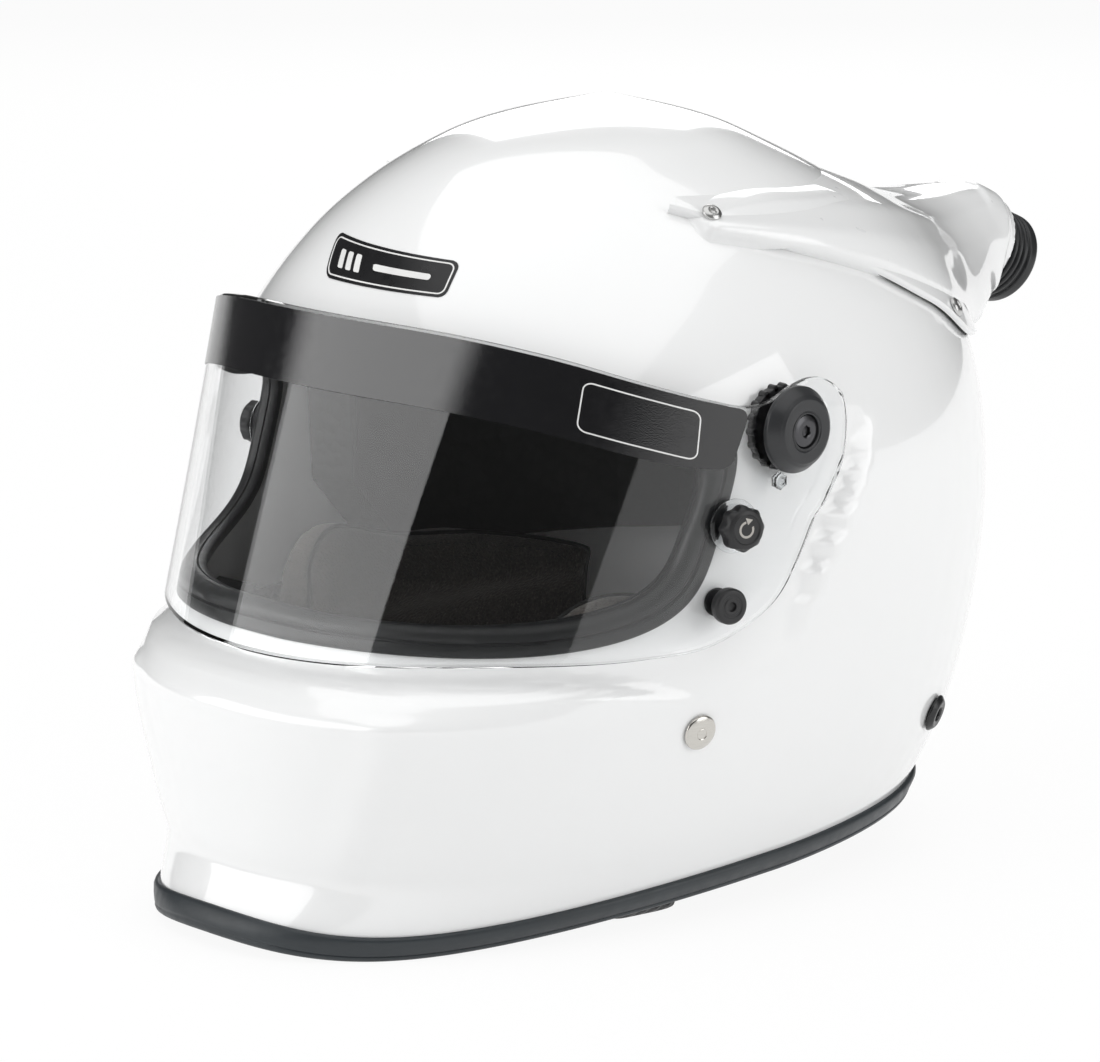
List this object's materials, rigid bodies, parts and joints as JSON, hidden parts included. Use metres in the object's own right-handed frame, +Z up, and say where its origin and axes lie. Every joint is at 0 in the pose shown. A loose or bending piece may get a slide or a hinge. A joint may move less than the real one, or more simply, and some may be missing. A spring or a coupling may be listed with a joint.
{
  "type": "full-face racing helmet",
  "caption": "Full-face circuit racing helmet with wrap-round clear visor, rear air duct with hose port, tether anchors, padded liner and double D-ring strap.",
  "frame": {"origin": "on the surface that the helmet stands on, under the middle of the whole helmet's box", "axes": "+Z up through the crown, -Y the way the wearer faces, +X towards the wearer's left"},
  "size_m": [0.2744, 0.4229, 0.281],
  "materials": {
    "shell_white": "gloss paint under clear coat",
    "duct_white": "gloss paint",
    "trim_rubber": "satin",
    "gasket_rubber": "satin",
    "seal_rubber": "matt",
    "nozzle_rubber": "satin",
    "liner_foam": "bead texture",
    "pad_fabric": "knitted cloth",
    "visor_clear": "clear hard coat",
    "strip_film": "gloss film",
    "pivot_black": "moulded",
    "knob_black": "moulded",
    "washer_clear": "clear moulded",
    "post_metal": "turned",
    "screw_dark": "black oxide",
    "screw_bright": "zinc",
    "rivet_nickel": "nickel plate",
    "anchor_black": "black anodised",
    "strap_webbing": "woven webbing",
    "ring_steel": "polished wire"
  },
  "bodies": {
    "root": {"outer_shell": "shell_white", "edge_trim": "trim_rubber", "eyeport_gasket": "gasket_rubber", "crown_liner": "liner_foam", "chin_liner": "liner_foam", "crown_pad": "pad_fabric", "brow_pad": "pad_fabric", "cheek_pad_left": "pad_fabric", "cheek_pad_right": "pad_fabric", "chin_pad": "pad_fabric", "neck_roll": "pad_fabric", "pivot_base_left": "pivot_black", "pivot_base_right": "pivot_black", "pivot_cap_left": "pivot_black", "pivot_cap_right": "pivot_black", "pivot_screw_left": "screw_dark", "pivot_screw_right": "screw_dark", "lock_strike": "knob_black", "strap_rivet_left": "rivet_nickel", "strap_rivet_right": "rivet_nickel", "rivet_washer_left": "rivet_nickel", "rivet_washer_right": "rivet_nickel", "tether_anchor_left": "anchor_black", "tether_anchor_right": "anchor_black", "chin_strap_left": "strap_webbing", "chin_strap_right": "strap_webbing", "air_duct": "duct_white", "duct_seal": "seal_rubber", "duct_screws": "screw_bright", "hose_nozzle": "nozzle_rubber"},
    "visor": {"visor_lens": "visor_clear", "visor_strip": "strip_film", "tear_off_stud_left": "post_metal", "tear_off_stud_right": "post_metal", "tear_off_washer_left": "washer_clear", "tear_off_washer_right": "washer_clear"},
    "lock_button": {"lock_button": "knob_black"},
    "knob_left": {"tear_off_knob_left": "knob_black"},
    "knob_right": {"tear_off_knob_right": "knob_black"},
    "d_rings": {"d_ring_inner": "ring_steel", "d_ring_outer": "ring_steel"}
  },
  "joints": [
    {"name": "visor_hinge", "type": "hinge", "parent": "root", "child": "visor", "pos_m": [0, -0.05251, 0.18], "axis": [-1, 0, 0], "range_deg": [0, 55]},
    {"name": "lock_press", "type": "slide", "parent": "visor", "child": "lock_button", "axis": [0.9714, -0.2364, 0.0217], "range_m": [-0.0012, 0]},
    {"name": "knob_left_turn", "type": "hinge", "parent": "visor", "child": "knob_left", "pos_m": [0.12584, -0.07701, 0.149], "axis": [0.9704, -0.2404, 0.0212], "range_deg": [0, 180]},
    {"name": "knob_right_turn", "type": "hinge", "parent": "visor", "child": "knob_right", "pos_m": [-0.12584, -0.07701, 0.149], "axis": [-0.9704, -0.2404, 0.0212], "range_deg": [-180, 0]},
    {"name": "d_ring_swing", "type": "hinge", "parent": "root", "child": "d_rings", "pos_m": [0.04874, -0.0746, 0.04], "axis": [0.142, 0.9899, 0], "range_deg": [0, 95]}
  ]
}
